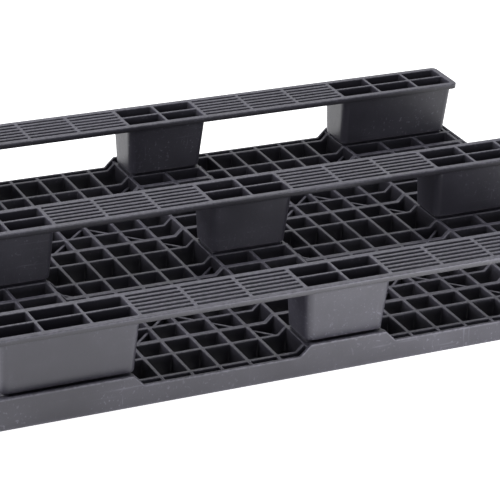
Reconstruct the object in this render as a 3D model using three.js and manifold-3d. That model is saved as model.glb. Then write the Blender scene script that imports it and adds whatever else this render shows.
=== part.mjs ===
// Plastic pallet, 1200 x 800 x 150 mm, lying upside down on its load face.
// One deck moulding carries three skids; each skid is one moulding with three hollow feet, and
// two self-tapping screws hold each foot to the deck.
//
// Frame: millimetres, +Z up, origin at the middle of the load face, which lies on z = 0.
// +X runs along the skids and +Y across them. The skids' ground faces are at z = HEIGHT.

import * as THREE from 'three';
import { mergeGeometries, mergeVertices } from 'three/addons/utils/BufferGeometryUtils.js';
import Module from 'manifold-3d';

const wasm = await Module();
wasm.setup();

// ---------------------------------------------------------------- driving dimensions

const LENGTH = 1200;
const WIDTH = 800;
const HEIGHT = 150;
const FIT_GAP = 0.3; // air left between two mouldings that touch
const CUT_MARGIN = 10; // how far a cutting block runs past the piece it cuts

// Deck
const RIB_TOP = 36; // ribs and rim in the fork ways
const FRAME_TOP = 48; // ribs raised under and beside the feet
const LIP_TOP = 54; // rim raised beside the feet on the long sides
const RIB = 5.5;
const HEAVY_RIB = 9;
const RIM_WALL = 5.5;
const END_INSET = 12; // outer end face to the middle of the rib inside it
const DECK_CORNER = 10;
const SHEET = 3.5; // closed load sheet under the slots behind the rim
const BAY_CELLS = 6; // cells between two foot frames, both ways
const WAY = [85, 353]; // fork way at RIB_TOP; its sides lean out at 45 degrees
const BRACE = 5;
const BRACE_TOP = 29;

// Foot frames, measured at the middle of their ribs
const ROW_PITCH = 350; // middle skid to outer skid
const MIDDLE_ROW_HALF = 35; // half of the middle row's inside, across the skid
const OUTER_ROW_HALF = 32; // the same for the two outer rows
const MIDDLE_FRAME_HALF = 68.5;
const END_FRAME_START = 369;
const END_FRAME_CELLS = 3;
const SOCKET_FLOOR = 5; // closed plate of the deck under each foot
const SEAT_TOP = 30; // ribs and bosses that carry the foot's floor

// Skid
const SKID_LENGTH = 1194;
const SKID_WIDTH = 90;
const STRIP = 10; // thickness of the ground strip
const STRIP_CORNER = 10;
const STRIP_BORDER = 10.5;
const CROSS_RIB = 5.5;
const PANELS = 3; // grating panels between two feet
const SLOTS = 6; // slots across one grating panel
const SLOT_WIDTH = 6.5;

// Feet
const FOOT_TOP_HALF_WIDTH = 42.5; // under the ground strip
const FOOT_LOW_HALF_WIDTH = 36.5; // on the frame
const MIDDLE_FOOT_TOP_HALF = 76;
const MIDDLE_FOOT_LOW_HALF = 68.5;
const END_FOOT_TOP = [357.2, 588];
const END_FOOT_LOW = [362, 581];
const FOOT_CORNER = 13;
const FOOT_WALL = 5; // at the foot's floor
const MIDDLE_FOOT_CELL_LINES = [-72.5, 0, 72.5]; // ends of the cells and ribs between, at the ground face
const END_FOOT_CELL_LINES = [360.7, 436.2, 515.2, 586];
const FOOT_RIB = 4.5;
const FOOT_FLOOR = 5;
const CELL_CORNER = 2.5;
const SPIGOT_HALF_WIDTH = 28.4; // part of a foot that drops inside its frame
const SPIGOT_PLAY = 0.8; // spigot to the ribs at the ends of the frame

// Screws
const SCREW_SHANK_RADIUS = 2.6;
const SCREW_HEAD_RADIUS = 5.5;
const SCREW_HEAD = 3.4;
const SCREW_REACH = 20; // below the foot's floor
const BOSS_RADIUS = 8;
const PILOT_DEPTH = 22;
const ROUND_SEGMENTS = 8;

// ---------------------------------------------------------------- materials

const moulded = new THREE.MeshStandardMaterial({ color: 0x2e2d33, roughness: 0.55, metalness: 0 });
const deckPlastic = new THREE.MeshStandardMaterial({ color: 0x2a292f, roughness: 0.6, metalness: 0 });
const zinc = new THREE.MeshStandardMaterial({ color: 0x9a9c9f, roughness: 0.35, metalness: 1 });

// ---------------------------------------------------------------- shapes and solids

// A closed three.js geometry as a manifold-3d solid.
function solid(geometry) {
  const bare = geometry.index ? geometry.toNonIndexed() : geometry;
  bare.deleteAttribute('normal');
  bare.deleteAttribute('uv');
  const merged = mergeVertices(bare, 1e-4);
  return new wasm.Manifold(new wasm.Mesh({
    numProp: 3,
    vertProperties: new Float32Array(merged.attributes.position.array),
    triVerts: new Uint32Array(merged.index.array),
  }));
}

// A manifold-3d solid as a named three.js mesh.
function toMesh(name, body, material) {
  const result = body.getMesh();
  const geometry = new THREE.BufferGeometry();
  geometry.setAttribute('position', new THREE.BufferAttribute(new Float32Array(result.vertProperties), 3));
  geometry.setIndex(new THREE.BufferAttribute(new Uint32Array(result.triVerts), 1));
  geometry.computeVertexNormals();
  const mesh = new THREE.Mesh(geometry, material);
  mesh.name = name;
  return mesh;
}

// A rectangle with round corners.
function roundRectangle(x0, y0, x1, y1, radius) {
  const shape = new THREE.Shape();
  shape.moveTo(x0 + radius, y0).lineTo(x1 - radius, y0);
  shape.absarc(x1 - radius, y0 + radius, radius, -Math.PI / 2, 0);
  shape.lineTo(x1, y1 - radius);
  shape.absarc(x1 - radius, y1 - radius, radius, 0, Math.PI / 2);
  shape.lineTo(x0 + radius, y1);
  shape.absarc(x0 + radius, y1 - radius, radius, Math.PI / 2, Math.PI);
  shape.lineTo(x0, y0 + radius);
  shape.absarc(x0 + radius, y0 + radius, radius, Math.PI, 1.5 * Math.PI);
  return shape;
}

// A flat shape raised from z0 to z1.
function raise(shape, z0, z1, curveSegments = 2) {
  const geometry = new THREE.ExtrudeGeometry(shape, { depth: z1 - z0, bevelEnabled: false, curveSegments });
  geometry.translate(0, 0, z0);
  return geometry;
}

// Separate blocks with one common height, as one solid. Each plan is [x0, x1, y0, y1].
function blocks(plans, z0, z1) {
  return solid(mergeGeometries(plans.map(([x0, x1, y0, y1]) => {
    const geometry = new THREE.BoxGeometry(x1 - x0, y1 - y0, z1 - z0);
    geometry.translate((x0 + x1) / 2, (y0 + y1) / 2, (z0 + z1) / 2);
    return geometry;
  })));
}

function block(x0, x1, y0, y1, z0, z1) {
  return blocks([[x0, x1, y0, y1]], z0, z1);
}

// A block with round upright edges that draws in evenly from its upper outline to its lower one.
// Each outline is [x0, x1, y0, y1]; one segment makes the round edges plain chamfers.
function taperedBlock(low, high, z0, z1, radius, segments) {
  const outline = roundRectangle(high[0], high[2], high[1], high[3], radius);
  const geometry = raise(outline, z0, z1, segments);
  const position = geometry.attributes.position;
  for (let i = 0; i < position.count; i += 1) {
    const rise = (position.getZ(i) - z0) / (z1 - z0);
    const u = (position.getX(i) - high[0]) / (high[1] - high[0]);
    const v = (position.getY(i) - high[2]) / (high[3] - high[2]);
    const x = THREE.MathUtils.lerp(THREE.MathUtils.lerp(low[0], low[1], u), position.getX(i), rise);
    const y = THREE.MathUtils.lerp(THREE.MathUtils.lerp(low[2], low[3], v), position.getY(i), rise);
    position.setXY(i, x, y);
  }
  return solid(geometry);
}

function column(radius, x, y, z0, z1) {
  const geometry = new THREE.CylinderGeometry(radius, radius, z1 - z0, ROUND_SEGMENTS);
  geometry.rotateX(Math.PI / 2);
  geometry.translate(x, y, (z0 + z1) / 2);
  return solid(geometry);
}

function joinAll(bodies) {
  return bodies.reduce((whole, body) => whole.add(body));
}

function cutAll(body, cutters) {
  return cutters.reduce((rest, cutter) => rest.subtract(cutter), body);
}

// count + 1 evenly spaced values from start to end.
function spaced(start, end, count) {
  return Array.from({ length: count + 1 }, (_, i) => start + ((end - start) * i) / count);
}

function mirrored(values) {
  return values.map((value) => -value).reverse();
}

// ---------------------------------------------------------------- layout shared by the pieces

const frameEnd = LENGTH / 2 - END_INSET;
const endFrameLines = spaced(END_FRAME_START, frameEnd, END_FRAME_CELLS);
const bayLines = spaced(MIDDLE_FRAME_HALF, END_FRAME_START, BAY_CELLS);
const rightLines = [...bayLines, ...endFrameLines.slice(1)];
const crosswiseRibs = [...mirrored(rightLines), 0, ...rightLines];

const farLines = [
  ...spaced(MIDDLE_ROW_HALF, ROW_PITCH - OUTER_ROW_HALF, BAY_CELLS),
  ROW_PITCH + OUTER_ROW_HALF,
];
const lengthwiseRibs = [...mirrored(farLines), ...farLines];
const heavyLines = [farLines[1], farLines[BAY_CELLS - 1]];

// The feet: the row each stands in, and its outlines where it meets the ground strip and the frame.
const rows = [
  { row: 'near', y: -ROW_PITCH, half: OUTER_ROW_HALF },
  { row: 'middle', y: 0, half: MIDDLE_ROW_HALF },
  { row: 'far', y: ROW_PITCH, half: OUTER_ROW_HALF },
];
const stations = [
  { station: 'left', top: mirrored(END_FOOT_TOP), low: mirrored(END_FOOT_LOW),
    ribs: mirrored(endFrameLines), cellLines: mirrored(END_FOOT_CELL_LINES) },
  { station: 'centre', top: [-MIDDLE_FOOT_TOP_HALF, MIDDLE_FOOT_TOP_HALF],
    low: [-MIDDLE_FOOT_LOW_HALF, MIDDLE_FOOT_LOW_HALF],
    ribs: [-MIDDLE_FRAME_HALF, 0, MIDDLE_FRAME_HALF], cellLines: MIDDLE_FOOT_CELL_LINES },
  { station: 'right', top: END_FOOT_TOP, low: END_FOOT_LOW,
    ribs: endFrameLines, cellLines: END_FOOT_CELL_LINES },
];

// Two screws for each foot, in the first cell on its near side and the last on its far side.
function screwPlaces(foot, y) {
  const ribs = foot.ribs;
  const first = (ribs[0] + ribs[1]) / 2;
  const last = (ribs[ribs.length - 2] + ribs[ribs.length - 1]) / 2;
  return [[first, y - SPIGOT_HALF_WIDTH / 2], [last, y + SPIGOT_HALF_WIDTH / 2]];
}

// ---------------------------------------------------------------- deck

// Half the thickness of the lengthwise rib on the line y.
function lengthwiseHalf(y) {
  return heavyLines.some((line) => Math.abs(Math.abs(y) - line) < 1) ? HEAVY_RIB / 2 : RIB / 2;
}

function isSocket(x, y) {
  const inRow = rows.some((entry) => Math.abs(y - entry.y) < entry.half);
  const inStation = Math.abs(x) < MIDDLE_FRAME_HALF || Math.abs(x) > END_FRAME_START;
  return inRow && inStation;
}

// The deck's open cells from above.
function deckCells() {
  const cells = [];
  for (let i = 0; i + 1 < crosswiseRibs.length; i += 1) {
    const x0 = crosswiseRibs[i] + RIB / 2;
    const x1 = crosswiseRibs[i + 1] - RIB / 2;
    for (let j = 0; j + 1 < lengthwiseRibs.length; j += 1) {
      const y0 = lengthwiseRibs[j] + lengthwiseHalf(lengthwiseRibs[j]);
      const y1 = lengthwiseRibs[j + 1] - lengthwiseHalf(lengthwiseRibs[j + 1]);
      if (!isSocket((x0 + x1) / 2, (y0 + y1) / 2)) cells.push([x0, x1, y0, y1]);
    }
  }
  return cells;
}

// The long slots between the rim and the rib inside it, closed at the load face.
function rimSlots() {
  const slots = [];
  const sideEnds = stations.flatMap((foot) => [foot.ribs[0], foot.ribs[foot.ribs.length - 1]]);
  const sideSlot = [ROW_PITCH + OUTER_ROW_HALF + RIB / 2, WIDTH / 2 - RIM_WALL];
  for (let i = 0; i + 1 < sideEnds.length; i += 1) {
    const along = [sideEnds[i] + RIB / 2, sideEnds[i + 1] - RIB / 2];
    slots.push([...along, sideSlot[0], sideSlot[1]], [...along, -sideSlot[1], -sideSlot[0]]);
  }
  const endEnds = rows.flatMap((entry) => [entry.y - entry.half, entry.y + entry.half]);
  const endSlot = [frameEnd + RIB / 2, LENGTH / 2 - RIM_WALL];
  for (let j = 0; j + 1 < endEnds.length; j += 1) {
    const across = [endEnds[j] + RIB / 2, endEnds[j + 1] - RIB / 2];
    slots.push([endSlot[0], endSlot[1], ...across], [-endSlot[1], -endSlot[0], ...across]);
  }
  return slots;
}

// The space over one fork way.
function forkWay(side) {
  const rise = LIP_TOP - RIB_TOP + CUT_MARGIN;
  const profile = new THREE.Shape();
  profile.moveTo(WAY[0], 0).lineTo(WAY[1], 0).lineTo(WAY[1] + rise, rise).lineTo(WAY[0] - rise, rise);
  const geometry = raise(profile, -WIDTH / 2 - CUT_MARGIN, WIDTH / 2 + CUT_MARGIN);
  geometry.rotateX(Math.PI / 2);
  geometry.translate(0, 0, RIB_TOP);
  if (side < 0) geometry.rotateZ(Math.PI);
  return solid(geometry);
}

// A foot's socket: the frame's inside, above the ribs and bosses that carry the foot.
function socketCut(foot, { y, half: rowHalf }) {
  const x0 = foot.ribs[0] + RIB / 2;
  const x1 = foot.ribs[foot.ribs.length - 1] - RIB / 2;
  const half = rowHalf - RIB / 2;
  const pocket = block(x0, x1, y - half, y + half, SOCKET_FLOOR, LIP_TOP + CUT_MARGIN);
  const carriers = foot.ribs.slice(1, -1).map((x) => (
    block(x - RIB / 2, x + RIB / 2, y - half - 1, y + half + 1, 0, SEAT_TOP)
  ));
  carriers.push(block(x0 - 1, x1 + 1, y - RIB / 2, y + RIB / 2, 0, SEAT_TOP));
  for (const [sx, sy] of screwPlaces(foot, y)) carriers.push(column(BOSS_RADIUS, sx, sy, 0, SEAT_TOP));
  return pocket.subtract(joinAll(carriers));
}

// Two crossing braces from corner to corner between four neighbouring frames.
function braces() {
  const x0 = MIDDLE_FRAME_HALF;
  const x1 = END_FRAME_START;
  const y0 = farLines[0];
  const y1 = farLines[BAY_CELLS];
  const run = Math.hypot(x1 - x0, y1 - y0);
  const lean = Math.atan2(y1 - y0, x1 - x0);
  const list = [];
  for (const sx of [-1, 1]) {
    for (const sy of [-1, 1]) {
      for (const turn of [lean, -lean]) {
        const geometry = new THREE.BoxGeometry(run, BRACE, BRACE_TOP);
        geometry.rotateZ(turn);
        geometry.translate((sx * (x0 + x1)) / 2, (sy * (y0 + y1)) / 2, BRACE_TOP / 2);
        list.push(solid(geometry));
      }
    }
  }
  return list;
}

function buildDeck() {
  const inner = WIDTH / 2 - RIM_WALL;
  const outline = roundRectangle(-LENGTH / 2, -WIDTH / 2, LENGTH / 2, WIDTH / 2, DECK_CORNER);
  const cuts = [
    blocks(deckCells(), -CUT_MARGIN, LIP_TOP + CUT_MARGIN),
    blocks(rimSlots(), SHEET, LIP_TOP + CUT_MARGIN),
    block(-LENGTH / 2 - CUT_MARGIN, LENGTH / 2 + CUT_MARGIN, -inner, inner, FRAME_TOP, LIP_TOP + CUT_MARGIN),
    forkWay(1),
    forkWay(-1),
  ];
  for (const row of rows) {
    for (const foot of stations) {
      cuts.push(socketCut(foot, row));
      for (const [sx, sy] of screwPlaces(foot, row.y)) {
        cuts.push(column(SCREW_SHANK_RADIUS + FIT_GAP, sx, sy, SEAT_TOP - PILOT_DEPTH, SEAT_TOP + 1));
      }
    }
  }
  const grid = cutAll(solid(raise(outline, 0, LIP_TOP)), cuts);
  return toMesh('deck', joinAll([grid, ...braces()]), deckPlastic);
}

// ---------------------------------------------------------------- skids

// The ground strip between two feet: three panels of lengthwise slots with cross ribs between them.
function gratingSlots(x0, x1, y) {
  const slots = [];
  const panelEdges = spaced(x0, x1, PANELS);
  const open = SKID_WIDTH - 2 * STRIP_BORDER;
  const pitch = (open - SLOT_WIDTH) / (SLOTS - 1);
  for (let p = 0; p < PANELS; p += 1) {
    for (let s = 0; s < SLOTS; s += 1) {
      const low = y - open / 2 + s * pitch;
      slots.push([panelEdges[p] + CROSS_RIB / 2, panelEdges[p + 1] - CROSS_RIB / 2, low, low + SLOT_WIDTH]);
    }
  }
  return slots;
}

function buildStrip(y) {
  const half = SKID_LENGTH / 2;
  const side = SKID_WIDTH / 2;
  const outline = roundRectangle(-half, y - side, half, y + side, STRIP_CORNER);
  const inner = END_FOOT_TOP[0];
  const slots = [
    ...gratingSlots(-inner, -MIDDLE_FOOT_TOP_HALF, y),
    ...gratingSlots(MIDDLE_FOOT_TOP_HALF, inner, y),
  ];
  const strip = solid(raise(outline, HEIGHT - STRIP, HEIGHT));
  return strip.subtract(blocks(slots, HEIGHT - STRIP - CUT_MARGIN, HEIGHT + CUT_MARGIN));
}

// Ends of the spigot: inside the frame, and no wider than the foot above it.
function spigotEnds({ ribs, low }) {
  const inset = RIB / 2 + SPIGOT_PLAY;
  return [Math.max(ribs[0] + inset, low[0] + 1), Math.min(ribs[ribs.length - 1] - inset, low[1] - 1)];
}

// The outside of one foot: the tapered wall that stands on the frame, and the spigot inside the frame.
function footOutside(foot, y) {
  const wallLow = [foot.low[0], foot.low[1], y - FOOT_LOW_HALF_WIDTH, y + FOOT_LOW_HALF_WIDTH];
  const wallTop = [foot.top[0], foot.top[1], y - FOOT_TOP_HALF_WIDTH, y + FOOT_TOP_HALF_WIDTH];
  const wall = taperedBlock(wallLow, wallTop, FRAME_TOP + FIT_GAP, HEIGHT - 1, FOOT_CORNER, 3);
  const [x0, x1] = spigotEnds(foot);
  const [y0, y1] = [y - SPIGOT_HALF_WIDTH, y + SPIGOT_HALF_WIDTH];
  return wall.add(block(x0, x1, y0, y1, SEAT_TOP + FIT_GAP, FRAME_TOP + 1));
}

// The open cells of one foot, in two rows, drawn in towards the foot's floor.
function footCells(foot, y) {
  const [x0, x1] = spigotEnds(foot);
  const topEdges = foot.cellLines;
  const count = topEdges.length - 1;
  const lowEdges = spaced(x0 + FOOT_WALL, x1 - FOOT_WALL, count);
  const topHalf = SKID_WIDTH / 2 - STRIP_BORDER;
  const lowHalf = SPIGOT_HALF_WIDTH - FOOT_WALL;
  const cells = [];
  for (let i = 0; i < count; i += 1) {
    const left = i === 0 ? 0 : FOOT_RIB / 2;
    const right = i === count - 1 ? 0 : FOOT_RIB / 2;
    for (const side of [-1, 1]) {
      const across = (half) => [y + side * (FOOT_RIB / 2), y + side * half].sort((a, b) => a - b);
      const lowBox = [lowEdges[i] + left, lowEdges[i + 1] - right, ...across(lowHalf)];
      const topBox = [topEdges[i] + left, topEdges[i + 1] - right, ...across(topHalf)];
      cells.push(taperedBlock(lowBox, topBox, SEAT_TOP + FIT_GAP + FOOT_FLOOR, HEIGHT + 1, CELL_CORNER, 1));
    }
  }
  return cells;
}

function buildSkid(row, y) {
  const outside = joinAll([buildStrip(y), ...stations.map((foot) => footOutside(foot, y))]);
  const cuts = stations.flatMap((foot) => footCells(foot, y));
  for (const foot of stations) {
    for (const [sx, sy] of screwPlaces(foot, y)) {
      cuts.push(column(SCREW_SHANK_RADIUS + FIT_GAP, sx, sy, SEAT_TOP - 1, SEAT_TOP + FOOT_FLOOR + 2));
    }
  }
  return toMesh(`skid_${row}`, cutAll(outside, cuts), moulded);
}

// ---------------------------------------------------------------- screws

function buildScrew(name, x, y) {
  const seat = SEAT_TOP + 2 * FIT_GAP + FOOT_FLOOR;
  const tip = SEAT_TOP - SCREW_REACH;
  const profile = [
    [0, tip], [SCREW_SHANK_RADIUS, tip + 3], [SCREW_SHANK_RADIUS, seat], [SCREW_HEAD_RADIUS, seat],
    [SCREW_HEAD_RADIUS * 0.8, seat + SCREW_HEAD], [0, seat + SCREW_HEAD],
  ].map(([r, z]) => new THREE.Vector2(r, z));
  const geometry = new THREE.LatheGeometry(profile, ROUND_SEGMENTS);
  geometry.rotateX(Math.PI / 2);
  geometry.translate(x, y, 0);
  return toMesh(name, solid(geometry), zinc);
}

// ---------------------------------------------------------------- assembly

const pallet = new THREE.Group();
pallet.name = 'plastic_pallet';
pallet.add(buildDeck());
for (const { row, y } of rows) {
  pallet.add(buildSkid(row, y));
  for (const foot of stations) {
    screwPlaces(foot, y).forEach(([sx, sy], i) => {
      pallet.add(buildScrew(`screw_${row}_${foot.station}_${i + 1}`, sx, sy));
    });
  }
}

export default pallet;
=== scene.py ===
"""A dark plastic pallet lying upside down on its load face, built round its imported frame.

The deck, the three skids and the screws are detailed pieces that stand for their CAD nodes.
Lengths are worked out in millimetres and become metres where a mesh is made.
"""

import math

import bmesh
import bpy
from mathutils import Matrix, Vector


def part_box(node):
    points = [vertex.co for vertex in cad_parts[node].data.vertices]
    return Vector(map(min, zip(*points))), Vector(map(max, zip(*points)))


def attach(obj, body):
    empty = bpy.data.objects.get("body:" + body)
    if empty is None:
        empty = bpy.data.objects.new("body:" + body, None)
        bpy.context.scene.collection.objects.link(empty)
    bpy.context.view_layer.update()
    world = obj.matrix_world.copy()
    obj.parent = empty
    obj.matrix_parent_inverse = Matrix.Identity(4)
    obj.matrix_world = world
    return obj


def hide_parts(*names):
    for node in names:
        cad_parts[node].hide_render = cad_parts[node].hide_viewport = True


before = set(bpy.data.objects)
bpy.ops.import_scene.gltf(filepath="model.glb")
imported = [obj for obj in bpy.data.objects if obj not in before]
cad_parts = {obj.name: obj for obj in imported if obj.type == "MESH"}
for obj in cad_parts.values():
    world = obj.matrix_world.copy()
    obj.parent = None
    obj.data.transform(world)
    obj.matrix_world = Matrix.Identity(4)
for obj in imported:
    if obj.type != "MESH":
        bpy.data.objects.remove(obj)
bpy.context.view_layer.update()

MM = 0.001


def node_box(node):
    """Lowest and highest corner of a CAD node, in millimetres."""
    low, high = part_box(node)
    return low / MM, high / MM


# ------------------------------------------------------------------ sizes, in millimetres

HALF_LENGTH, HALF_WIDTH, LIP_TOP = node_box("deck")[1]

RIB = 5.5
HEAVY_RIB = 9.0
RIB_TOP = 36.0             # ribs and rim over the fork ways
FRAME_TOP = 48.0           # ribs beside the feet
WAY = (85.0, 353.0)        # a fork way's lowest part, along X
RIM_WALL = 5.5
SHEET = 3.5                # thickness of the load sheet
SOCKET_FLOOR = 5.0         # top of the closed plate under each foot
DECK_CORNER = 10.0
BRACE = 5.0
BRACE_TOP = 29.0
LEDGE = 4.0                # how far the load sheet reaches into an open cell
HOLE_CORNER = 7.0
SEAT_TOP = 30.0            # ribs and bosses that carry a foot
BOSS_RADIUS = 8.0
PILOT_RADIUS = 2.9
PILOT_DEPTH = 22.0
OVERLAP = 1.5              # how far the deck's grid runs into its rim

END_INSET = 12.0           # a deck's end face to the middle of the last rib
MIDDLE_FRAME = 68.5        # the frame round a middle foot reaches this far to both sides
END_FRAME = (369.0, HALF_LENGTH - END_INSET)
END_FRAME_CELLS = 3
BAY_CELLS = 6              # cells between two frames, both ways
ROW_PITCH = 350.0          # middle skid to outer skid
MIDDLE_ROW_HALF = 35.0     # half of the inside of a row's sockets, across the skid
OUTER_ROW_HALF = 32.0

STRIP = 10.0               # thickness of the ground plate
STRIP_CORNER = 10.0
STRIP_BORDER = 10.5        # the ground plate's edge to its slots and cells
STRIP_ROUND = 1.5
CROSS_RIB = 5.5
PANELS = 3                 # grating panels between two feet
SLOTS = 6                  # slots across one panel
SLOT_WIDTH = 6.5
FOOT_HALF_WIDTHS = (36.5, 42.5)    # on the frame, and under the ground plate
MIDDLE_FOOT = (68.5, 76.0)         # half lengths at the same two heights
END_FOOT_LOW = (362.0, 581.0)      # an end foot's ends on the frame
END_FOOT_TOP = (357.2, 588.0)      # and under the ground plate
MIDDLE_CELL_LINES = (-72.5, 0.0, 72.5)
END_CELL_LINES = (360.7, 436.2, 515.2, 586.0)
FOOT_CORNER = 13.0
FOOT_RIB = 4.5
FOOT_WALL = 5.0
FOOT_FLOOR = 35.3          # bottom of a foot's cells
FOOT_BOTTOM = 30.3         # underside of the part that stands in a socket
FOOT_SHELF = 48.3          # where a foot's wall stands on its frame
FOOT_NECK = 4.5            # how far the wall stands back under its outer edge
FOOT_EDGE = 53.7           # that outer edge's height
FOOT_FILLET = 1.8          # where the wall meets the ground plate
SPIGOT_HALF_WIDTH = 28.4
SPIGOT_CLEARANCE = 0.8

SHADE_DEPTH = 12.0       # below this depth a hole's wall is fully darkened with painted shade
CORNER_STEPS = 4
ROUND_STEPS = 3
CIRCLE_STEPS = 24
TOLERANCE = 0.01           # two lengths closer than this are the same
MERGE_METRES = 1e-6

# Wear and painted shade of a point: 1 is rubbed pale, 0 is clean, and below 0 is painted shade, darker in
# recesses and under parts.
PAINTED_SHADE = -1.0
HALF_PAINTED_SHADE = -0.6
CLEAN = 0.0
FACE_WEAR = 0.3
RIB_WEAR = 0.35
GROUND_WEAR = 0.6
RIM_WEAR = 0.8
EDGE_WEAR = 1.0


def spaced(start, end, count):
    """The ends and lines of count equal parts between start and end."""
    return [start + (end - start) * i / count for i in range(count + 1)]


def mirrored(values):
    """The values and their negatives, in rising order."""
    return sorted({-v for v in values} | set(values))


END_X = spaced(END_FRAME[0], END_FRAME[1], END_FRAME_CELLS)
DECK_X = mirrored([0.0, *spaced(MIDDLE_FRAME, END_FRAME[0], BAY_CELLS), *END_X])
BAY_Y = spaced(MIDDLE_ROW_HALF, ROW_PITCH - OUTER_ROW_HALF, BAY_CELLS)
DECK_Y = mirrored([*BAY_Y, ROW_PITCH + OUTER_ROW_HALF])
HEAVY_Y = (BAY_Y[1], BAY_Y[-2])

# Each row's middle line and half the inside of its sockets, and the ribs of the frames along a row.
ROWS = {
    "near": (-ROW_PITCH, OUTER_ROW_HALF),
    "middle": (0.0, MIDDLE_ROW_HALF),
    "far": (ROW_PITCH, OUTER_ROW_HALF),
}
FRAMES = ([-x for x in reversed(END_X)], [-MIDDLE_FRAME, 0.0, MIDDLE_FRAME], END_X)


def way_height(x, high):
    """Height at x of an edge that is low over the fork ways and climbs at 45 degrees beside them."""
    climb = max(WAY[0] - abs(x), abs(x) - WAY[1], 0)
    return min(high, RIB_TOP + climb)


def rib_top(x, y):
    """Height of the rib grid, which is the same all the way across the deck."""
    return way_height(x, FRAME_TOP)


def rim_top(x, y):
    """Height of the rim: a high lip beside the feet on the long sides, frame height at the ends."""
    if abs(x) < HALF_LENGTH - DECK_CORNER:
        return way_height(x, LIP_TOP)
    return max(FRAME_TOP, min(LIP_TOP, LIP_TOP - (HALF_WIDTH - RIM_WALL - abs(y))))


def way_breaks(high):
    """The x of every bend in way_height."""
    climb = high - RIB_TOP
    return mirrored([WAY[0] - climb, WAY[0], WAY[1], WAY[1] + climb])


RIB_BREAKS = way_breaks(FRAME_TOP)
RIM_BREAKS = way_breaks(LIP_TOP)


# ------------------------------------------------------------------ mesh tools

def inset(rect, distance):
    """A rectangle (x0, x1, y0, y1) drawn in by the same distance on every side."""
    return rect[0] + distance, rect[1] - distance, rect[2] + distance, rect[3] - distance


def outline(rect, radius, x_breaks=(), y_breaks=()):
    """Points round a rectangle with round corners, anticlockwise from the low-y side.

    radius is one number, or one for each corner in the order of the points. The breaks add points on
    the sides at those x or y, held clear of the corners, so outlines with equal breaks join up.
    """
    x0, x1, y0, y1 = rect
    radii = (radius,) * 4 if isinstance(radius, (int, float)) else radius
    along_x = sorted(x_breaks)
    along_y = sorted(y_breaks)

    def between(values, low, high):
        return [min(max(v, low), high) for v in values]

    sides = [
        [(x, y0) for x in between(along_x, x0 + radii[3], x1 - radii[0])],
        [(x1, y) for y in between(along_y, y0 + radii[0], y1 - radii[1])],
        [(x, y1) for x in reversed(between(along_x, x0 + radii[2], x1 - radii[1]))],
        [(x0, y) for y in reversed(between(along_y, y0 + radii[3], y1 - radii[2]))],
    ]
    corners = [(x1 - radii[0], y0 + radii[0]), (x1 - radii[1], y1 - radii[1]),
               (x0 + radii[2], y1 - radii[2]), (x0 + radii[3], y0 + radii[3])]
    points = []
    for number, (side, (cx, cy), r) in enumerate(zip(sides, corners, radii)):
        points += side
        for step in range(CORNER_STEPS + 1):
            angle = math.radians(90 * (number - 1 + step / CORNER_STEPS))
            points.append((cx + r * math.cos(angle), cy + r * math.sin(angle)))
    return points


def quarter_round(radius):
    """(sideways, down) along a quarter round that starts flat and ends upright."""
    for step in range(1, ROUND_STEPS + 1):
        angle = math.radians(90 * step / ROUND_STEPS)
        yield radius * math.sin(angle), radius * (1 - math.cos(angle))


class Moulding:
    """Collects skins stretched over rings of points, with a value at each point for wear and painted
    shade.
    """

    def __init__(self):
        self.mesh = bmesh.new()
        self.wear_and_shade = self.mesh.verts.layers.float.new("wear_and_shade")

    def ring(self, points, height, wear_and_shade=CLEAN):
        """points are (x, y) in millimetres; height is a number or a function of x and y."""
        made = []
        for x, y in points:
            z = height(x, y) if callable(height) else height
            vertex = self.mesh.verts.new((x * MM, y * MM, z * MM))
            vertex[self.wear_and_shade] = wear_and_shade
            made.append(vertex)
        return made

    def skin(self, rings):
        """Quads between each ring and the next: outward where rings rise, upward where they draw in."""
        for one, two in zip(rings, rings[1:]):
            for i in range(len(one)):
                j = (i + 1) % len(one)
                self.mesh.faces.new((one[i], one[j], two[j], two[i]))

    def cap(self, ring, down=False):
        """One flat face over a ring."""
        self.mesh.faces.new(list(reversed(ring)) if down else ring)

    def close_edges(self):
        """Merges points that meet, and joins open edges straight down to the edges below them."""
        bmesh.ops.remove_doubles(self.mesh, verts=self.mesh.verts, dist=MERGE_METRES)
        ends = [e for e in self.mesh.edges if e.is_boundary]
        bottom = {}
        for vertex in {v for e in ends for v in e.verts}:
            key = (round(vertex.co.x, 5), round(vertex.co.y, 5))
            if key not in bottom or vertex.co.z < bottom[key].co.z:
                bottom[key] = vertex
        for edge in ends:
            loop = edge.link_loops[0]
            a, b = loop.vert, loop.link_loop_next.vert
            below = [bottom[round(v.co.x, 5), round(v.co.y, 5)] for v in (b, a)]
            if a is not below[1] and b is not below[0]:
                self.mesh.faces.new((b, a, below[1], below[0]))

    def finish(self, name, slot, material, nodes):
        """Makes the object, which stands for these CAD nodes."""
        bmesh.ops.remove_doubles(self.mesh, verts=self.mesh.verts, dist=MERGE_METRES)
        data = bpy.data.meshes.new(name)
        self.mesh.to_mesh(data)
        self.mesh.free()
        data.shade_smooth()
        data.materials.append(material)
        piece = bpy.data.objects.new(name, data)
        bpy.context.scene.collection.objects.link(piece)
        normals = piece.modifiers.new("even_normals", "WEIGHTED_NORMAL")
        normals.weight = 100
        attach(piece, "root")
        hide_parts(*nodes)


def lowered(top, drop):
    """A height, or a function of x and y that gives one, brought down by drop."""
    return (lambda x, y: top(x, y) - drop) if callable(top) else top - drop


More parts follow.
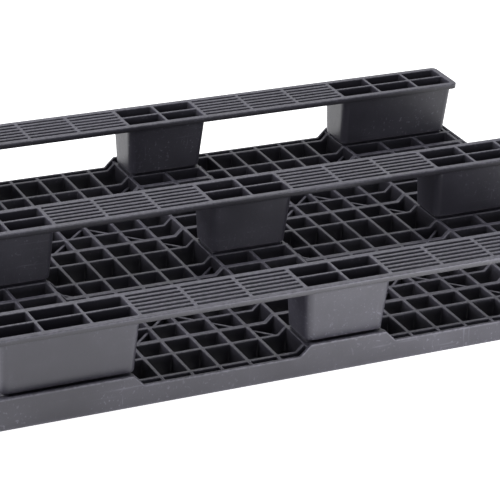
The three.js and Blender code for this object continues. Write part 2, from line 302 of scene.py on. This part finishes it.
def mouth(moulding, tile, hole, radius, top, breaks, edge=0.9, flat_wear=RIB_WEAR, corners=0.0, deep=True):
    """Rings from a tile's edge over its flat top face and the round edge of the hole in it.

    tile and hole are rectangles, breaks the (x, y) breaks of every ring, and corners the tile's own.
    A deep hole gets one more ring, towards which its wall darkens with painted shade.
    """
    rings = [moulding.ring(outline(tile, corners, *breaks), top, flat_wear),
             moulding.ring(outline(inset(hole, -edge), radius + edge, *breaks), top, RIM_WEAR)]
    for side, drop in quarter_round(edge):
        shape = outline(inset(hole, side - edge), radius + edge - side, *breaks)
        rings.append(moulding.ring(shape, lowered(top, drop), EDGE_WEAR))
    rings.append(moulding.ring(outline(inset(hole, 0.05), radius, *breaks), lowered(top, edge + 1.6)))
    # the wall darkens down to this ring with painted shade
    if deep:
        shape = outline(inset(hole, 0.25), radius, *breaks)
        rings.append(moulding.ring(shape, lowered(top, SHADE_DEPTH), PAINTED_SHADE))
    return rings


# ------------------------------------------------------------------ materials

def plastic(name, base, dusty, roughness, grain_seed):
    """Dull moulded polyethylene: cloudy tone, fine grain, handling streaks, paler worn edges, and painted
    shade where a point's value is below 0.
    """
    material = bpy.data.materials.new(name)
    material.use_nodes = True
    nodes = material.node_tree.nodes
    links = material.node_tree.links
    shader = nodes["Principled BSDF"]
    place = nodes.new("ShaderNodeTexCoord")
    wear_and_shade = nodes.new("ShaderNodeAttribute")
    wear_and_shade.attribute_name = "wear_and_shade"

    def noise(scale, detail, stretch=(1, 1, 1), seed=0.0):
        turn = nodes.new("ShaderNodeMapping")
        turn.inputs["Scale"].default_value = stretch
        turn.inputs["Location"].default_value = (seed, seed * 0.7, seed * 1.3)
        links.new(place.outputs["Object"], turn.inputs["Vector"])
        node = nodes.new("ShaderNodeTexNoise")
        node.inputs["Scale"].default_value = scale
        node.inputs["Detail"].default_value = detail
        links.new(turn.outputs["Vector"], node.inputs["Vector"])
        return node.outputs["Fac"]

    def spread(value, low, high, to_low=0.0, to_high=1.0):
        node = nodes.new("ShaderNodeMapRange")
        node.inputs["From Min"].default_value = low
        node.inputs["From Max"].default_value = high
        node.inputs["To Min"].default_value = to_low
        node.inputs["To Max"].default_value = to_high
        links.new(value, node.inputs["Value"])
        return node.outputs["Result"]

    def combine(operation, one, two):
        node = nodes.new("ShaderNodeMath")
        node.operation = operation
        for socket, value in zip(node.inputs, (one, two)):
            if isinstance(value, (int, float)):
                socket.default_value = value
            else:
                links.new(value, socket)
        return node.outputs["Value"]

    def blend(factor, one, two):
        node = nodes.new("ShaderNodeMix")
        node.data_type = "RGBA"
        links.new(factor, node.inputs["Factor"])
        for socket, value in ((node.inputs[6], one), (node.inputs[7], two)):
            if isinstance(value, tuple):
                socket.default_value = (*value, 1.0)
            else:
                links.new(value, socket)
        return node.outputs[2]

    clouds = noise(7.0, 4.0, seed=grain_seed)
    speckle = noise(160.0, 3.0, seed=grain_seed + 3.1)
    grain = noise(1400.0, 2.0, seed=grain_seed + 5.7)
    streaks_x = noise(9.0, 5.0, (1.0, 26.0, 26.0), grain_seed + 1.9)
    streaks_z = noise(9.0, 5.0, (30.0, 30.0, 2.0), grain_seed + 8.3)
    # the colour of the painted shade in recesses and under parts
    painted_shade_tone = tuple(0.6 * c for c in base)
    pale = tuple(min(1.0, 2.4 * c + 0.03) for c in dusty)

    # Dust in clouds, with scuffs and specks where it is thickest.
    tone = blend(spread(clouds, 0.38, 0.68), base, dusty)
    scuff = combine("MAXIMUM", spread(streaks_x, 0.65, 0.77), spread(streaks_z, 0.65, 0.76))
    scuff = combine("MULTIPLY", scuff, spread(clouds, 0.4, 0.62))
    specks = spread(noise(190.0, 2.0, seed=grain_seed + 12.4), 0.62, 0.70)
    scuff = combine("MAXIMUM", scuff, combine("MULTIPLY", specks, spread(clouds, 0.42, 0.58)))
    scuffed = blend(combine("MULTIPLY", scuff, 0.5), tone, pale)

    # The wear and shade value of each point: patchy and pale on worn edges, and darker painted shade where
    # it is below 0.
    patchy = spread(speckle, 0.36, 0.66, 0.25, 1.0)
    worn = combine("MULTIPLY", spread(wear_and_shade.outputs["Fac"], CLEAN, EDGE_WEAR), patchy)
    painted_shade_mask = spread(wear_and_shade.outputs["Fac"], PAINTED_SHADE, CLEAN, 1.0, 0.0)
    tone_with_painted_shade = blend(painted_shade_mask, scuffed, painted_shade_tone)
    links.new(blend(combine("MULTIPLY", worn, 0.75), tone_with_painted_shade, pale), shader.inputs["Base Color"])

    rough = combine("ADD", spread(clouds, 0.3, 0.7, roughness - 0.05, roughness + 0.07),
                    combine("MULTIPLY", worn, 0.06))
    links.new(rough, shader.inputs["Roughness"])
    shader.inputs["IOR"].default_value = 1.52

    relief = combine("ADD", combine("MULTIPLY", grain, 0.4),
                     combine("ADD", combine("MULTIPLY", speckle, 0.8), combine("MULTIPLY", scuff, -0.6)))
    bump = nodes.new("ShaderNodeBump")
    bump.inputs["Strength"].default_value = 0.35
    bump.inputs["Distance"].default_value = 0.0004
    links.new(relief, bump.inputs["Height"])
    links.new(bump.outputs["Normal"], shader.inputs["Normal"])
    return material


def zinc_plate():
    """Zinc-plated steel with a blotchy bright passivation."""
    material = bpy.data.materials.new("zinc_plated_steel")
    material.use_nodes = True
    nodes = material.node_tree.nodes
    links = material.node_tree.links
    shader = nodes["Principled BSDF"]
    shader.inputs["Metallic"].default_value = 1.0
    place = nodes.new("ShaderNodeTexCoord")
    blotch = nodes.new("ShaderNodeTexNoise")
    blotch.inputs["Scale"].default_value = 420.0
    blotch.inputs["Detail"].default_value = 3.0
    links.new(place.outputs["Object"], blotch.inputs["Vector"])
    tint = nodes.new("ShaderNodeValToRGB")
    tint.color_ramp.elements[0].color = (0.42, 0.43, 0.45, 1)
    tint.color_ramp.elements[1].color = (0.66, 0.66, 0.62, 1)
    links.new(blotch.outputs["Fac"], tint.inputs["Fac"])
    links.new(tint.outputs["Color"], shader.inputs["Base Color"])
    rough = nodes.new("ShaderNodeMapRange")
    rough.inputs["To Min"].default_value = 0.28
    rough.inputs["To Max"].default_value = 0.5
    links.new(blotch.outputs["Fac"], rough.inputs["Value"])
    links.new(rough.outputs["Result"], shader.inputs["Roughness"])
    bump = nodes.new("ShaderNodeBump")
    bump.inputs["Strength"].default_value = 0.2
    bump.inputs["Distance"].default_value = 0.0001
    links.new(blotch.outputs["Fac"], bump.inputs["Height"])
    links.new(bump.outputs["Normal"], shader.inputs["Normal"])
    return material


# ------------------------------------------------------------------ deck

def half_rib(y):
    """Half the thickness of the lengthwise rib on the line y."""
    heavy = any(abs(abs(y) - line) < 1 for line in HEAVY_Y)
    return (HEAVY_RIB if heavy else RIB) / 2


def deck_tile(deck, tile, hole):
    """A tile of the grid with one open cell, with a ledge of load sheet round its bottom."""
    breaks = ([b for b in RIB_BREAKS if tile[0] < b < tile[1]], ())
    rings = mouth(deck, tile, hole, 2.0, rib_top, breaks)
    # the rings down to the load sheet's ledge carry painted shade at the bottom of the cell
    for distance, height, radius, wear_and_shade in (
        (0.7, SHEET + 1.2, 2.5, PAINTED_SHADE),
        (1.05, SHEET + 0.35, 2.8, PAINTED_SHADE),
        (1.9, SHEET, 3.2, PAINTED_SHADE),
        (LEDGE - 0.5, SHEET, HOLE_CORNER, PAINTED_SHADE),
        (LEDGE, SHEET - 0.5, HOLE_CORNER, FACE_WEAR),
        (LEDGE, 0.6, HOLE_CORNER, 0.5),
        (LEDGE - 0.6, 0.0, HOLE_CORNER, 0.9),
        (LEDGE - 2.5, 0.0, HOLE_CORNER - 1, FACE_WEAR),
    ):
        rings.append(deck.ring(outline(inset(hole, distance), radius, *breaks), height, wear_and_shade))
    rings.append(deck.ring(outline(tile, 0.0, *breaks), 0.0, FACE_WEAR))
    deck.skin(rings)


def blind_tile(deck, tile, hole, floor, x_breaks=()):
    """A tile of the grid round a pocket that the load sheet closes."""
    breaks = ([*x_breaks, *[b for b in RIB_BREAKS if tile[0] < b < tile[1]]], ())
    rings = mouth(deck, tile, hole, 0.8, rib_top, breaks, edge=0.7)
    # the pocket's floor carries painted shade
    for distance, height, radius in ((0.4, floor + 0.9, 0.8), (0.6, floor + 0.25, 0.7), (1.1, floor, 0.5)):
        rings.append(deck.ring(outline(inset(hole, distance), radius, *breaks), height, PAINTED_SHADE))
    deck.skin(rings)
    deck.cap(rings[-1])
    deck.cap(deck.ring(outline(tile, 0.0, *breaks), 0.0, FACE_WEAR), down=True)


def solid_tile(deck, tile):
    """A tile with no hole, at each corner of the deck."""
    deck.cap(deck.ring(outline(tile, 0.0), rib_top, RIB_WEAR))
    deck.cap(deck.ring(outline(tile, 0.0), 0.0, FACE_WEAR), down=True)


def deck_grid(deck):
    """Every cell of the rib grid, the sockets of the feet and the slots behind the rim."""
    edge_x = HALF_LENGTH - RIM_WALL + OVERLAP
    edge_y = HALF_WIDTH - RIM_WALL + OVERLAP
    lines_x = [-edge_x, *DECK_X, edge_x]
    lines_y = [-edge_y, *DECK_Y, edge_y]
    last_x = len(lines_x) - 2
    last_y = len(lines_y) - 2
    rows_y = [(y - half, y + half) for y, half in ROWS.values()]

    for i in range(last_x + 1):
        x0, x1 = lines_x[i], lines_x[i + 1]
        left = OVERLAP if i == 0 else RIB / 2
        right = OVERLAP if i == last_x else RIB / 2
        for j in range(last_y + 1):
            y0, y1 = lines_y[j], lines_y[j + 1]
            near = OVERLAP if j == 0 else half_rib(y0)
            far = OVERLAP if j == last_y else half_rib(y1)
            tile = (x0, x1, y0, y1)
            hole = (x0 + left, x1 - right, y0 + near, y1 - far)
            in_row = any(low - 1 < y0 and y1 < high + 1 for low, high in rows_y)
            in_frame = any(lines[0] - 1 < x0 and x1 < lines[-1] + 1 for lines in FRAMES)
            if i in (0, last_x) and j in (0, last_y):
                solid_tile(deck, tile)
            elif i in (0, last_x) or j in (0, last_y):
                blind_tile(deck, tile, hole, SHEET)
            elif not (in_row and in_frame):
                deck_tile(deck, tile, hole)

    for lines in FRAMES:
        for y0, y1 in rows_y:
            tile = (lines[0], lines[-1], y0, y1)
            blind_tile(deck, tile, inset(tile, RIB / 2), SOCKET_FLOOR, lines[1:-1])


def deck_rim(deck):
    """The outer wall: a soft lower edge, a slight draft and a rounded lip."""
    whole = (-HALF_LENGTH, HALF_LENGTH, -HALF_WIDTH, HALF_WIDTH)
    end_lines = mirrored([HALF_WIDTH - RIM_WALL - (LIP_TOP - FRAME_TOP)])
    inner = RIM_WALL + 0.2
    draft = 0.4
    outer_round = 1.6
    inner_round = 0.9

    def level(distance, height, wear_and_shade):
        radius = max(DECK_CORNER - distance, 3.0)
        return deck.ring(outline(inset(whole, distance), radius, RIM_BREAKS, end_lines), height, wear_and_shade)

    rings = [
        level(inner, 0.0, FACE_WEAR),
        level(1.8, 0.0, 0.6),
        level(0.5, 0.5, EDGE_WEAR),
        level(0.0, 1.8, 0.5),
        level(0.05, 5.0, CLEAN),
        level(draft, lowered(rim_top, 4.0), CLEAN),
    ]
    for side, drop in reversed(list(quarter_round(outer_round))):
        rings.append(level(draft + outer_round - side, lowered(rim_top, drop), EDGE_WEAR))
    rings.append(level(draft + outer_round, rim_top, RIM_WEAR))
    rings.append(level(inner - inner_round, rim_top, RIM_WEAR))
    for side, drop in quarter_round(inner_round):
        rings.append(level(inner - inner_round + side, lowered(rim_top, drop), EDGE_WEAR))
    rings.append(level(inner, lowered(rim_top, 3.0), CLEAN))
    rings.append(rings[0])
    deck.skin(rings)


def low_rib(deck, start, end, thickness, bottom, top):
    """A straight rib between two points, with a rounded top."""
    run = Vector(end) - Vector(start)
    left = Vector((-run.y, run.x)).normalized()
    half = thickness / 2
    rounding = [(half - 0.15, top - 1.0), (half - 0.45, top - 0.3), (half - 1.1, top)]
    other_side = [(-sideways, height) for sideways, height in reversed(rounding)]
    rings = []
    for place in (start, end):
        ring = []
        for sideways, height in [(-half, bottom), (half, bottom), *rounding, *other_side]:
            wear_and_shade = RIM_WEAR if height > top - 0.5 else CLEAN
            ring += deck.ring([Vector(place) + left * sideways], height, wear_and_shade)
        rings.append(ring)
    deck.skin(rings)
    deck.cap(rings[0], down=True)
    deck.cap(rings[1])


def circle(centre, radius, ripple=0.0):
    """Points round a circle, anticlockwise; ripple is the depth of six lobes."""
    points = []
    for i in range(CIRCLE_STEPS):
        angle = 2 * math.pi * i / CIRCLE_STEPS
        reach = radius + ripple * math.cos(6 * angle)
        points.append((centre[0] + reach * math.cos(angle), centre[1] + reach * math.sin(angle)))
    return points


def boss(deck, centre):
    """A round boss with the pilot hole of a screw."""
    profile = (
        (BOSS_RADIUS, SOCKET_FLOOR - 1),
        (BOSS_RADIUS, SEAT_TOP - 0.6),
        (BOSS_RADIUS - 0.6, SEAT_TOP),
        (PILOT_RADIUS + 0.5, SEAT_TOP),
        (PILOT_RADIUS, SEAT_TOP - 0.5),
        (PILOT_RADIUS, SEAT_TOP - PILOT_DEPTH),
    )
    rings = [deck.ring(circle(centre, radius), height) for radius, height in profile]
    deck.cap(rings[0], down=True)
    deck.skin(rings)
    deck.cap(rings[-1])


def foot_seat(deck, lines, y, half):
    """The ribs and bosses in a socket, which carry a foot. lines are the x of the frame's ribs."""
    bottom = SOCKET_FLOOR - 1
    for x in lines[1:-1]:
        low_rib(deck, (x, y - half + 1), (x, y + half - 1), RIB, bottom, SEAT_TOP)
    low_rib(deck, (lines[0] + 1, y), (lines[-1] - 1, y), RIB, bottom, SEAT_TOP)
    boss(deck, ((lines[0] + lines[1]) / 2, y - SPIGOT_HALF_WIDTH / 2))
    boss(deck, ((lines[-2] + lines[-1]) / 2, y + SPIGOT_HALF_WIDTH / 2))


def deck_braces(deck):
    """Two crossing braces in each bay between the feet."""
    bottom = 0.6
    for side_x in (-1, 1):
        for side_y in (-1, 1):
            x0, x1 = side_x * MIDDLE_FRAME, side_x * END_FRAME[0]
            y0, y1 = side_y * BAY_Y[0], side_y * BAY_Y[-1]
            low_rib(deck, (x0, y0), (x1, y1), BRACE, bottom, BRACE_TOP)
            low_rib(deck, (x0, y1), (x1, y0), BRACE, bottom, BRACE_TOP)


def build_deck(material):
    """The whole deck as one moulding."""
    deck = Moulding()
    deck_grid(deck)
    deck.close_edges()
    deck_rim(deck)
    deck_braces(deck)
    for y, half in ROWS.values():
        for lines in FRAMES:
            foot_seat(deck, lines, y, half)
    deck.finish("deck_moulding", "deck_plastic", material, ["deck"])


# ------------------------------------------------------------------ skids

def foot_stations():
    """Each foot's low and top ends, the ribs of its frame and the lines of its cells, left to right."""
    def flip(values):
        return tuple(-v for v in reversed(values))

    middle = {"low": (-MIDDLE_FOOT[0], MIDDLE_FOOT[0]), "top": (-MIDDLE_FOOT[1], MIDDLE_FOOT[1]),
              "frame": (-MIDDLE_FRAME, MIDDLE_FRAME), "cells": MIDDLE_CELL_LINES}
    right = {"low": END_FOOT_LOW, "top": END_FOOT_TOP, "frame": END_FRAME, "cells": END_CELL_LINES}
    left = {key: flip(values) for key, values in right.items()}
    return [left, middle, right]


def spigot_ends(foot):
    """Where the part of a foot inside its socket begins and ends along X."""
    clear = RIB / 2 + SPIGOT_CLEARANCE
    return (max(foot["frame"][0] + clear, foot["low"][0] + 1),
            min(foot["frame"][1] - clear, foot["low"][1] - 1))


class Skid:
    """Sizes of one skid in its row, and the moulding that it is built in."""

    def __init__(self, row):
        low, high = node_box(f"skid_{row}")
        y = ROWS[row][0]
        self.y = y
        self.plate = (low.x, high.x, low.y, high.y)
        self.ground = high.z
        self.under = high.z - STRIP
        self.flat = inset(self.plate, STRIP_ROUND)
        self.flat_corner = STRIP_CORNER - STRIP_ROUND
        pitch = (high.y - low.y - 2 * STRIP_BORDER - SLOT_WIDTH) / (SLOTS - 1)
        self.slot_centres = [y + (k - (SLOTS - 1) / 2) * pitch for k in range(SLOTS)]
        self.bar_lines = [(a + b) / 2 for a, b in zip(self.slot_centres, self.slot_centres[1:])]
        self.moulding = Moulding()

    def own_corners(self, x0, x1, y0, y1):
        """Radii of a tile's corners: round only where they are the plate's own."""
        def round_if(x, y):
            at_end = min(abs(x - self.flat[0]), abs(x - self.flat[1])) < TOLERANCE
            at_side = min(abs(y - self.flat[2]), abs(y - self.flat[3])) < TOLERANCE
            return self.flat_corner if at_end and at_side else 0.0
        return (round_if(x1, y0), round_if(x1, y1), round_if(x0, y1), round_if(x0, y0))


def inside(values, low, high):
    """The values that lie clear between two ends."""
    return [v for v in values if low + TOLERANCE < v < high - TOLERANCE]


def foot_cells(skid, foot):
    """The deep cells of one foot, in two rows, each in its own tile of the ground face."""
    lines = foot["cells"]
    count = len(lines) - 1
    tile_ends = station_span(skid, foot)
    low_ends = spigot_ends(foot)
    low_lines = spaced(low_ends[0] + FOOT_WALL, low_ends[1] - FOOT_WALL, count)
    for i in range(count):
        left = 0.0 if i == 0 else FOOT_RIB / 2
        right = 0.0 if i == count - 1 else FOOT_RIB / 2
        x0 = tile_ends[0] if i == 0 else lines[i]
        x1 = tile_ends[1] if i == count - 1 else lines[i + 1]
        for side in (-1, 1):
            middle = skid.y + side * FOOT_RIB / 2
            across = sorted((skid.y, skid.flat[3] if side > 0 else skid.flat[2]))
            wide = sorted((middle, skid.y + side * (skid.plate[3] - skid.y - STRIP_BORDER)))
            narrow = sorted((middle, skid.y + side * (SPIGOT_HALF_WIDTH - FOOT_WALL)))
            tile = (x0, x1, *across)
            hole = (lines[i] + left, lines[i + 1] - right, *wide)
            floor = (low_lines[i] + left, low_lines[i + 1] - right, *narrow)
            breaks = ((), inside(skid.bar_lines, *across))
            rings = mouth(skid.moulding, tile, hole, 2.2, skid.ground, breaks, edge=1.0,
                          flat_wear=GROUND_WEAR, corners=skid.own_corners(*tile))
            # the cell floor carries painted shade
            for distance, rise, radius in ((0.0, 2.0, 3.0), (0.6, 0.6, 3.0), (2.0, 0.0, 2.5)):
                shape = outline(inset(floor, distance), radius, *breaks)
                rings.append(skid.moulding.ring(shape, FOOT_FLOOR + rise, PAINTED_SHADE))
            skid.moulding.skin(rings)
            skid.moulding.cap(rings[-1])


def station_span(skid, foot):
    """Where a foot's part of the ground plate begins and ends along X."""
    low, high = foot["top"]
    if low < -END_FOOT_TOP[0]:
        return skid.flat[0], high
    if high > END_FOOT_TOP[0]:
        return low, skid.flat[1]
    return low, high


def grating(skid, x0, x1):
    """The slotted panels of the ground plate between two feet."""
    lines = spaced(x0, x1, PANELS)
    sides = [skid.flat[2], *skid.bar_lines, skid.flat[3]]
    breaks = ((), ())
    radius = 1.2
    for a, b in zip(lines, lines[1:]):
        for centre, low, high in zip(skid.slot_centres, sides, sides[1:]):
            tile = (a, b, low, high)
            half = SLOT_WIDTH / 2
            hole = (a + CROSS_RIB / 2, b - CROSS_RIB / 2, centre - half, centre + half)
            rings = mouth(skid.moulding, tile, hole, radius, skid.ground, breaks, edge=0.8,
                          flat_wear=GROUND_WEAR, deep=False)
            for distance, rise in ((0.15, 1.2), (0.0, 0.6), (-0.6, 0.0)):
                shape = outline(inset(hole, distance), radius, *breaks)
                rings.append(skid.moulding.ring(shape, skid.under + rise))
            rings.append(skid.moulding.ring(outline(tile, 0.0, *breaks), skid.under))
            skid.moulding.skin(rings)


def foot_outside(skid, foot):
    """A foot's spigot, its tapered wall with round edges, and the plate's underside round its top."""
    def share(height):
        """How far up the wall a height is, from 0 to 1."""
        return (height - FOOT_SHELF) / (skid.ground - 1 - FOOT_SHELF)

    def at(part):
        """The wall's outline at this part of the way from the foot's low end to its top."""
        ends = [a + (b - a) * part for a, b in zip(foot["low"], foot["top"])]
        half = FOOT_HALF_WIDTHS[0] + (FOOT_HALF_WIDTHS[1] - FOOT_HALF_WIDTHS[0]) * part
        return ends[0], ends[1], skid.y - half, skid.y + half

    def level(rect, radius, height, wear_and_shade=CLEAN):
        shape = outline(rect, radius, foot["cells"][1:-1], skid.bar_lines)
        return skid.moulding.ring(shape, height, wear_and_shade)

    def drawn_in(part, distance, height, wear_and_shade):
        """The wall's outline, drawn in by a distance with its corners."""
        return level(inset(at(part), distance), FOOT_CORNER - distance, height, wear_and_shade)

    spigot = (*spigot_ends(foot), skid.y - SPIGOT_HALF_WIDTH, skid.y + SPIGOT_HALF_WIDTH)
    span = (*station_span(skid, foot), skid.flat[2], skid.flat[3])
    edge = share(FOOT_EDGE)
    top = share(skid.under)
    rings = [
        level(spigot, 3.0, FOOT_BOTTOM),
        level(spigot, 3.0, FOOT_SHELF),
        drawn_in(0.0, FOOT_NECK, FOOT_SHELF, CLEAN),
        # painted shade in the recessed neck under the foot's outer edge, a dark line above the frame
        drawn_in(edge, FOOT_NECK, FOOT_EDGE, PAINTED_SHADE),
        drawn_in(edge, 1.6, FOOT_EDGE, CLEAN),
        drawn_in(edge, 0.5, FOOT_EDGE + 0.5, 0.6),
        level(at(edge + 0.02), FOOT_CORNER, FOOT_EDGE + 2.2, 0.2),
        level(at(edge + 0.06), FOOT_CORNER, FOOT_EDGE + 0.06 * (skid.ground - FOOT_SHELF)),
        level(at(top - 0.06), FOOT_CORNER, skid.under - 6.0),
    ]
    for side, drop in reversed(list(quarter_round(FOOT_FILLET))):
        spot = inset(at(top), -(FOOT_FILLET - side) * 0.35)
        rings.append(level(spot, FOOT_CORNER, skid.under - drop))
    rings.append(level(span, skid.own_corners(*span), skid.under))
    skid.moulding.cap(rings[0], down=True)
    skid.moulding.skin(rings)


def plate_edge(skid, feet):
    """The ground plate's outer edge, rounded at the ground face and under it."""
    x_breaks = []
    for foot in feet:
        x_breaks += [*station_span(skid, foot), *foot["cells"][1:-1]]
    for a, b in zip(feet, feet[1:]):
        x_breaks += spaced(station_span(skid, a)[1], station_span(skid, b)[0], PANELS)[1:-1]
    x_breaks = inside(x_breaks, skid.flat[0], skid.flat[1])

    def level(distance, height, wear_and_shade):
        shape = outline(inset(skid.plate, distance), STRIP_CORNER - distance, x_breaks, skid.bar_lines)
        return skid.moulding.ring(shape, height, wear_and_shade)

    rings = [
        # painted shade on the plate's underside and, fading out, on the lower part of its edge
        level(STRIP_ROUND, skid.under, PAINTED_SHADE),
        level(0.7, skid.under + 0.15, PAINTED_SHADE),
        level(0.3, skid.under + 0.8, PAINTED_SHADE),
        level(0.2, skid.under + 4.0, HALF_PAINTED_SHADE),
        level(0.05, skid.ground - 3.5, CLEAN),
    ]
    for side, drop in reversed(list(quarter_round(STRIP_ROUND))):
        rings.append(level(STRIP_ROUND - side, skid.ground - drop, 0.7))
    rings.append(level(STRIP_ROUND, skid.ground, GROUND_WEAR))
    skid.moulding.skin(rings)


def build_skid(row, material):
    """One skid with its three feet as one moulding."""
    skid = Skid(row)
    feet = foot_stations()
    for foot in feet:
        foot_cells(skid, foot)
        foot_outside(skid, foot)
    for a, b in zip(feet, feet[1:]):
        grating(skid, station_span(skid, a)[1], station_span(skid, b)[0])
    plate_edge(skid, feet)
    skid.moulding.finish(f"skid_{row}_moulding", "skid_plastic", material, [f"skid_{row}"])


# ------------------------------------------------------------------ screws

def build_screw(node, material):
    """A pan-head screw with a washer face and a six-lobed socket."""
    low, high = node_box(node)
    head = (high.x - low.x) / 2
    shank = head * 0.47
    seat = high.z - 3.4
    screw = Moulding()
    profile = (
        (0.3, low.z, 0.0),
        (shank * 0.6, low.z + 2.0, 0.0),
        (shank, low.z + 5.0, 0.0),
        (shank, seat, 0.0),
        (head * 0.98, seat, 0.0),
        (head, seat + 0.3, 0.0),
        (head * 0.97, seat + 0.9, 0.0),
        (head * 0.8, seat + 1.2, 0.0),
        (head * 0.74, seat + 2.2, 0.0),
        (head * 0.6, seat + 3.0, 0.0),
        (head * 0.42, seat + 3.4, 0.0),
        (head * 0.36, seat + 3.38, 0.2),
        (head * 0.33, seat + 3.2, 0.3),
        (head * 0.32, seat + 1.4, 0.3),
    )
    centre = (low + high) / 2
    rings = [screw.ring(circle(centre, radius, lobes), height) for radius, height, lobes in profile]
    screw.cap(rings[0], down=True)
    screw.skin(rings)
    screw.cap(rings[-1])
    screw.finish(f"{node}_detail", "screw_steel", material, [node])


# ------------------------------------------------------------------ build

black = plastic("deck_charcoal_plastic", base=(0.026, 0.0245, 0.034), dusty=(0.046, 0.044, 0.058),
                roughness=0.42, grain_seed=0.0)
grey_black = plastic("skid_charcoal_plastic", base=(0.030, 0.0285, 0.039), dusty=(0.052, 0.050, 0.066),
                     roughness=0.40, grain_seed=11.0)
zinc = zinc_plate()

build_deck(black)
for row_name in ROWS:
    build_skid(row_name, grey_black)
for node_name in sorted(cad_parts):
    if node_name.startswith("screw_"):
        build_screw(node_name, zinc)


# ------------------------------------------------------------------ stage

CAMERA_TARGET = Vector((-0.0995, -0.2324, 0.150))
CAMERA_DISTANCE = 4.0757
CAMERA_AZIMUTH = math.radians(27.12)
CAMERA_ELEVATION = math.radians(24.95)
CAMERA_ROLL = math.radians(3.15)
CAMERA_LENS = 182.9
FLOOR_HALF = 30.0
COVERED = (0.59, 0.39)      # half of the floor's part that the pallet hides
FLOOR_GLOW = 0.8
WORLD_COLOR = (0.96, 0.97, 1.0, 1)
WORLD_STRENGTH = 0.42
LAMPS = (                   # name, place, target, width, height, power
    ("overhead", (0.3, 0.2, 3.4), (0.0, 0.0, 0.0), 3.0, 3.0, 70),
    ("behind", (2.0, 3.8, 2.3), (0.0, 0.0, 0.1), 3.0, 1.6, 17),
    ("front", (0.40, -0.85, 0.05), (0.30, -0.4, 0.06), 1.1, 0.07, 3.4),
    ("left", (-2.8, 0.3, 1.0), (-0.1, 0.0, 0.1), 1.5, 1.0, 55),
)


def build_camera():
    """The camera stands in front and to the left, looks down, and leans a little to one side."""
    flat = Vector((math.sin(CAMERA_AZIMUTH), math.cos(CAMERA_AZIMUTH), 0.0))
    forward = flat * math.cos(CAMERA_ELEVATION) - Vector((0, 0, math.sin(CAMERA_ELEVATION)))
    level_right = Vector((math.cos(CAMERA_AZIMUTH), -math.sin(CAMERA_AZIMUTH), 0.0))
    level_up = level_right.cross(forward)
    right = level_right * math.cos(CAMERA_ROLL) + level_up * math.sin(CAMERA_ROLL)
    up = right.cross(forward)
    data = bpy.data.cameras.new("camera")
    data.sensor_width = 36
    data.lens = CAMERA_LENS
    data.clip_end = 100
    camera = bpy.data.objects.new("camera", data)
    bpy.context.scene.collection.objects.link(camera)
    turn = Matrix((right, up, -forward)).transposed().to_4x4()
    camera.matrix_world = Matrix.Translation(CAMERA_TARGET - forward * CAMERA_DISTANCE) @ turn
    bpy.context.scene.camera = camera


def floor_material(name, glow):
    """Matt white; glow is its own light."""
    material = bpy.data.materials.new(name)
    material.use_nodes = True
    shader = material.node_tree.nodes["Principled BSDF"]
    shader.inputs["Base Color"].default_value = (0.86, 0.86, 0.87, 1)
    shader.inputs["Roughness"].default_value = 0.9
    shader.inputs["Emission Color"].default_value = (1, 1, 1, 1)
    shader.inputs["Emission Strength"].default_value = glow
    return material


def build_floor():
    """A plain white floor that glows a little, except where the pallet covers it."""
    signs = ((-1, -1), (1, -1), (1, 1), (-1, 1))
    inner = [(sx * COVERED[0], sy * COVERED[1], 0.0) for sx, sy in signs]
    outer = [(sx * FLOOR_HALF, sy * FLOOR_HALF, 0.0) for sx, sy in signs]
    faces = [(0, 1, 2, 3)] + [(i, i + 4, (i + 1) % 4 + 4, (i + 1) % 4) for i in range(4)]
    data = bpy.data.meshes.new("floor")
    data.from_pydata(inner + outer, [], faces)
    data.materials.append(floor_material("covered_floor", 0.0))
    data.materials.append(floor_material("pale_floor", FLOOR_GLOW))
    for face in data.polygons[1:]:
        face.material_index = 1
    floor = bpy.data.objects.new("floor", data)
    bpy.context.scene.collection.objects.link(floor)


def build_lamp(name, place, target, width, height, power):
    """A rectangular soft lamp that faces its target."""
    data = bpy.data.lights.new(name, "AREA")
    data.shape = "RECTANGLE"
    data.size = width
    data.size_y = height
    data.energy = power
    lamp = bpy.data.objects.new(name, data)
    bpy.context.scene.collection.objects.link(lamp)
    lamp.visible_camera = False
    lamp.location = place
    lamp.rotation_euler = (Vector(target) - lamp.location).to_track_quat("-Z", "Y").to_euler()


def build_light():
    """A pale surround and soft lamps: overhead, behind for sheen, low in front, and at the left."""
    world = bpy.data.worlds.new("studio")
    bpy.context.scene.world = world
    world.use_nodes = True
    sky = world.node_tree.nodes["Background"]
    sky.inputs["Color"].default_value = WORLD_COLOR
    sky.inputs["Strength"].default_value = WORLD_STRENGTH
    for lamp in LAMPS:
        build_lamp(*lamp)


build_camera()
build_floor()
build_light()
bpy.context.scene.view_settings.view_transform = "Standard"
